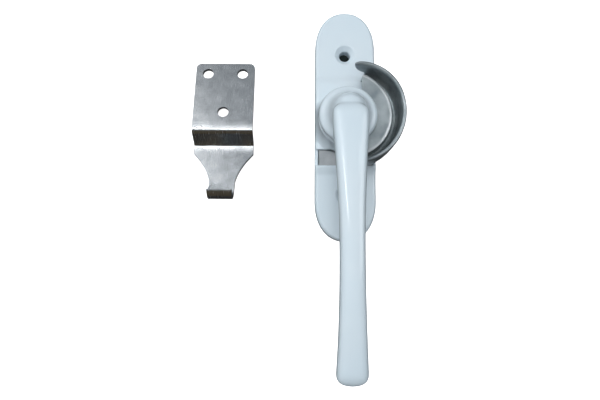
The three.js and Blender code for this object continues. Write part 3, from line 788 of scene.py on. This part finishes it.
def plated_cam():
    """Dull zinc over pressed steel, with painted shade darkening its hollows.

    Draw marks run round it, and a painted highlight lies as a bright ring along the disc's edge.
    """
    dark, light = (0.22, 0.26, 0.28), (0.42, 0.47, 0.49)
    # near-black painted shade colour for the hollows, and a pale painted highlight colour for the ring
    # at the disc's edge
    painted_shade_colour, painted_highlight_colour = (0.04, 0.045, 0.04), (0.80, 0.84, 0.86)
    ring_starts, ring_full = -1.5 * MM, -0.9 * MM
    ring_fades, ring_ends = 0.05 * MM, 0.2 * MM
    look = Look("zinc_plate", Metallic=0.72)
    flat = look.node("ShaderNodeVectorMath", {0: look.place, 1: (1, 1, 0)}, operation="MULTIPLY")
    radius = look.node("ShaderNodeVectorMath", {0: flat.outputs["Vector"]}, operation="LENGTH")
    spot = look.node("ShaderNodeSeparateXYZ", {"Vector": look.place})
    marks_place = look.node(
        "ShaderNodeCombineXYZ", {"X": radius.outputs["Value"], "Y": spot.outputs["Z"]})
    marks = look.noise(2400, 3, marks_place.outputs["Vector"])
    plating = look.blend(look.between(look.noise(150, 5), 0, 1), dark, light)
    angle = look.math("ARCTAN2", spot.outputs["Y"], spot.outputs["X"])
    edge = look.math("MULTIPLY_ADD", angle, DISC_SPIRAL * MM, DISC_RADIUS * MM)
    past = look.math("SUBTRACT", radius.outputs["Value"], edge)
    # painted highlight: a bright ring from just inside the disc's edge to just past it, patchy along its
    # length
    near = look.between(past, 0, 1, ring_starts, ring_full)
    short = look.between(past, 1, 0, ring_fades, ring_ends)
    patchy = look.between(look.noise(110, 3), 0.25, 1)
    painted_highlight = look.math("MULTIPLY", look.math("MULTIPLY", near, short), patchy)
    # painted shade: ambient occlusion darkens the plating in the groove, near the hub and under the
    # lever
    occlusion = look.node("ShaderNodeAmbientOcclusion", {"Distance": 0.008}, samples=8).outputs["AO"]
    painted_shade = look.between(occlusion, 1, 0, 0.02, 0.30)
    shaded_plating = look.blend(painted_shade, plating, painted_shade_colour)
    look.drive("Base Color", look.blend(painted_highlight, shaded_plating, painted_highlight_colour))
    look.drive("Roughness", look.between(marks, 0.32, 0.42))
    grain = look.bump(look.noise(2600, 2), 0.10, 0.00008)
    look.drive("Normal", look.bump(marks, 0.03, 0.0001, grain))
    return look.material


def brushed_stainless():
    """Rolled sheet with a fine brushing along its length and a soft mottle."""
    look = Look("brushed_stainless", Metallic=1.0)
    lines = look.noise(1, 4, look.stretched(5200, 260, 260))
    mottle = look.noise(240, 4)
    look.drive("Base Color", look.blend(
        look.between(mottle, 0, 1), (0.48, 0.50, 0.515), (0.62, 0.64, 0.655)))
    look.drive("Roughness", look.between(lines, 0.18, 0.28))
    wave = look.bump(look.noise(70, 2), 0.12, 0.0008)
    look.drive("Normal", look.bump(lines, 0.10, 0.00006, wave))
    return look.material


def machined(name, dark, light, rough, metallic=1.0):
    """Turned or stamped parts: a fine grain over one tone."""
    look = Look(name, Metallic=metallic)
    look.drive("Base Color", look.blend(look.between(look.noise(300, 3), 0, 1), dark, light))
    look.drive("Roughness", look.between(look.noise(900, 3), rough - 0.05, rough + 0.07))
    look.drive("Normal", look.bump(look.noise(1, 3, look.stretched(2600, 500, 2600)), 0.08, 0.00006))
    return look.material


def plain_floor():
    look = Look("plain_floor", Roughness=0.9, Specular_IOR_Level=0.1, Emission_Strength=1.0)
    look.shader.inputs["Emission Color"].default_value = (1, 1, 1, 1)
    look.drive("Base Color", look.blend(
        look.between(look.noise(14, 3), 0, 1), (0.93, 0.93, 0.93), (0.95, 0.95, 0.95)))
    return look.material


# ---- Stage ----

CAMERA_PLACE = (-18.64, -56.2, 200.89)
CAMERA_TILT = 7
CAMERA_ROLL = 0.4
SENSOR_WIDTH = 36
FOCAL_LENGTH = 28.8


def make_camera():
    data = bpy.data.cameras.new("camera")
    data.sensor_width = SENSOR_WIDTH
    data.lens = FOCAL_LENGTH
    data.clip_start = 0.01
    camera = bpy.data.objects.new("camera", data)
    bpy.context.scene.collection.objects.link(camera)
    tilt = Matrix.Rotation(math.radians(CAMERA_TILT), 4, "X")
    roll = Matrix.Rotation(math.radians(CAMERA_ROLL), 4, "Z")
    place = Matrix.Translation(Vector(CAMERA_PLACE) * MM)
    camera.matrix_world = place @ tilt @ roll
    bpy.context.scene.camera = camera


def area_light(name, place, width, height, power):
    """A rectangular light that faces the spindle."""
    data = bpy.data.lights.new(name, "AREA")
    data.shape = "RECTANGLE"
    data.size, data.size_y = width, height
    data.energy = power
    light = bpy.data.objects.new(name, data)
    bpy.context.scene.collection.objects.link(light)
    light.location = place
    light.rotation_euler = (-Vector(place)).to_track_quat("-Z", "Y").to_euler()
    return light


def soft_light(name, place, size, power):
    """A square light that leaves no reflection."""
    area_light(name, place, size, size, power).visible_glossy = False


def shine(name, direction, width, height, radiance):
    """A light that only shows as a reflection, given by its direction and angular size."""
    distance = 0.8
    place = Vector(direction).normalized() * distance
    power = radiance * math.pi * width * height * distance ** 2
    light = area_light(name, place, width * distance, height * distance, power)
    light.visible_diffuse = False


def make_floor():
    size = 2
    corners = [(-size, -size, 0), (size, -size, 0), (size, size, 0), (-size, size, 0)]
    mesh = bpy.data.meshes.new("floor")
    mesh.from_pydata(corners, [], [(0, 1, 2, 3)])
    mesh.materials.append(plain_floor())
    floor = new_object("floor", mesh)
    floor.location.z = -0.1 * MM
    floor.visible_glossy = False
    floor.visible_diffuse = False


def glow(name, *stops):
    """A surface that shines evenly: one colour, or (share, colour) stops along its own X."""
    material = bpy.data.materials.new(name)
    material.use_nodes = True
    tree = material.node_tree
    tree.nodes.remove(tree.nodes["Principled BSDF"])
    emission = tree.nodes.new("ShaderNodeEmission")
    tree.links.new(emission.outputs["Emission"], tree.nodes["Material Output"].inputs["Surface"])
    if len(stops) == 1:
        emission.inputs["Color"].default_value = (*stops[0], 1)
        return material
    place = tree.nodes.new("ShaderNodeTexCoord")
    split = tree.nodes.new("ShaderNodeSeparateXYZ")
    shades = tree.nodes.new("ShaderNodeValToRGB")
    elements = shades.color_ramp.elements
    elements.remove(elements[0])
    for index, (spot, colour) in enumerate(stops):
        if index:
            elements.new(spot)
        elements[index].position = spot
        elements[index].color = (*colour, 1)
    tree.links.new(place.outputs["Generated"], split.inputs["Vector"])
    tree.links.new(split.outputs["X"], shades.inputs["Fac"])
    tree.links.new(shades.outputs["Color"], emission.inputs["Color"])
    return material


def make_flag(name, corners, *stops):
    """A dark screen that only the shiny surfaces see."""
    mesh = bpy.data.meshes.new(name)
    mesh.from_pydata(corners, [], [(0, 1, 2, 3)])
    mesh.materials.append(glow(name, *stops))
    flag = new_object(name, mesh)
    flag.visible_camera = False
    flag.visible_shadow = False
    flag.visible_diffuse = False


def make_flags():
    """One from overhead down to the floor behind the camera, one overhead to the right."""
    half = 0.9
    top, foot = (-0.15, 0.62), (-0.62, 0.0)
    corners = [(-half, *foot), (half, *foot), (half, *top), (-half, *top)]
    make_flag(
        "front_flag", corners,
        (0.0, (0.10, 0.085, 0.05)), (0.45, (0.08, 0.065, 0.045)), (0.6, (0.03, 0.012, 0.012)))
    height = 0.6
    left, right, near, far = 0.06, 0.30, -0.12, 0.17
    corners = [(x, y, height) for x, y in ((left, near), (right, near), (right, far), (left, far))]
    make_flag("top_flag", corners, (0.05, 0.055, 0.055))


def make_shade_mat():
    """A dark sheet of painted shade under the housing, smaller than it, so that the screw holes look
    down on dark.
    """
    inset = 3
    outline = [(x * MM, y * MM, 0) for x, y in housing_outline(inset)]
    mesh = bpy.data.meshes.new("mat")
    mesh.from_pydata(outline, [], [tuple(range(len(outline)))])
    # the sheet glows near-black: painted shade for the depths of the screw holes
    mesh.materials.append(glow("mat", (0.012, 0.018, 0.018)))
    mat = new_object("mat", mesh)
    mat.location.z = -0.05 * MM


def make_world():
    """Pale all round, darker below the horizon."""
    world = bpy.data.worlds.new("studio")
    bpy.context.scene.world = world
    world.use_nodes = True
    tree = world.node_tree
    background = tree.nodes["Background"]
    place = tree.nodes.new("ShaderNodeTexCoord")
    split = tree.nodes.new("ShaderNodeSeparateXYZ")
    rise = tree.nodes.new("ShaderNodeMapRange")
    rise.interpolation_type = "SMOOTHSTEP"
    rise.inputs["From Min"].default_value = -0.05
    rise.inputs["From Max"].default_value = 0.95
    mix = tree.nodes.new("ShaderNodeMix")
    mix.data_type = "RGBA"
    mix.inputs["A"].default_value = (0.08, 0.08, 0.08, 1)
    mix.inputs["B"].default_value = (0.80, 0.86, 0.92, 1)
    tree.links.new(place.outputs["Generated"], split.inputs["Vector"])
    tree.links.new(split.outputs["Z"], rise.inputs["Value"])
    tree.links.new(rise.outputs["Result"], mix.inputs["Factor"])
    tree.links.new(mix.outputs["Result"], background.inputs["Color"])
    background.inputs["Strength"].default_value = 0.5


# ---- Assembly ----


def dress(piece, material):
    piece.data.materials.clear()
    piece.data.materials.append(material)


def show(piece, node, body, material):
    """A finished piece that stands for a CAD node."""
    dress(piece, material)
    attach(piece, body)
    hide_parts(node)


bpy.context.scene.view_settings.view_transform = "Standard"
make_camera()
make_world()
make_floor()
make_shade_mat()
make_flags()
soft_light("key", (-0.08, 0.06, 1.0), 0.7, 6.0)
soft_light("side", (-0.75, 0.40, 0.60), 0.8, 3.0)
shine("lamp", (-0.27, 0.24, 0.95), 0.035, 0.45, 20)
shine("left_card", (-0.58, 0.50, 0.65), 0.6, 0.6, 1.1)
shine("bend_card", (-0.17, 0.31, 0.94), 0.13, 0.30, 1.6)
shine("right_card", (0.66, 0.15, 0.74), 0.55, 0.8, 2.4)

PAINT = white_paint()
STEEL = machined("plated_steel", (0.48, 0.50, 0.52), (0.60, 0.62, 0.64), 0.32)
SPRING = machined("spring_steel", (0.42, 0.45, 0.47), (0.52, 0.55, 0.57), 0.42)
BRONZE = machined("bronze", (0.45, 0.31, 0.16), (0.56, 0.40, 0.22), 0.40)
NYLON = machined("nylon", (0.030, 0.032, 0.035), (0.045, 0.047, 0.050), 0.50, metallic=0.0)

show(housing_shell(), "base_housing", "housing", PAINT)
show(lever(), "lever_handle", "lever", PAINT)
show(crescent(), "crescent_cam", "lever", plated_cam())
show(keeper_sheet(), "keeper", "keeper", brushed_stainless())

CAD_LOOKS = {
    "back_plate": STEEL,
    "back_plate_rivet_upper": STEEL,
    "back_plate_rivet_lower": STEEL,
    "spindle": STEEL,
    "index_block": STEEL,
    "stop_washer": STEEL,
    "drive_pin": STEEL,
    "detent_spring": SPRING,
    "wave_washer": SPRING,
    "spindle_bush": BRONZE,
    "thrust_washer": NYLON,
}
for node, material in CAD_LOOKS.items():
    dress(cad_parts[node], material)
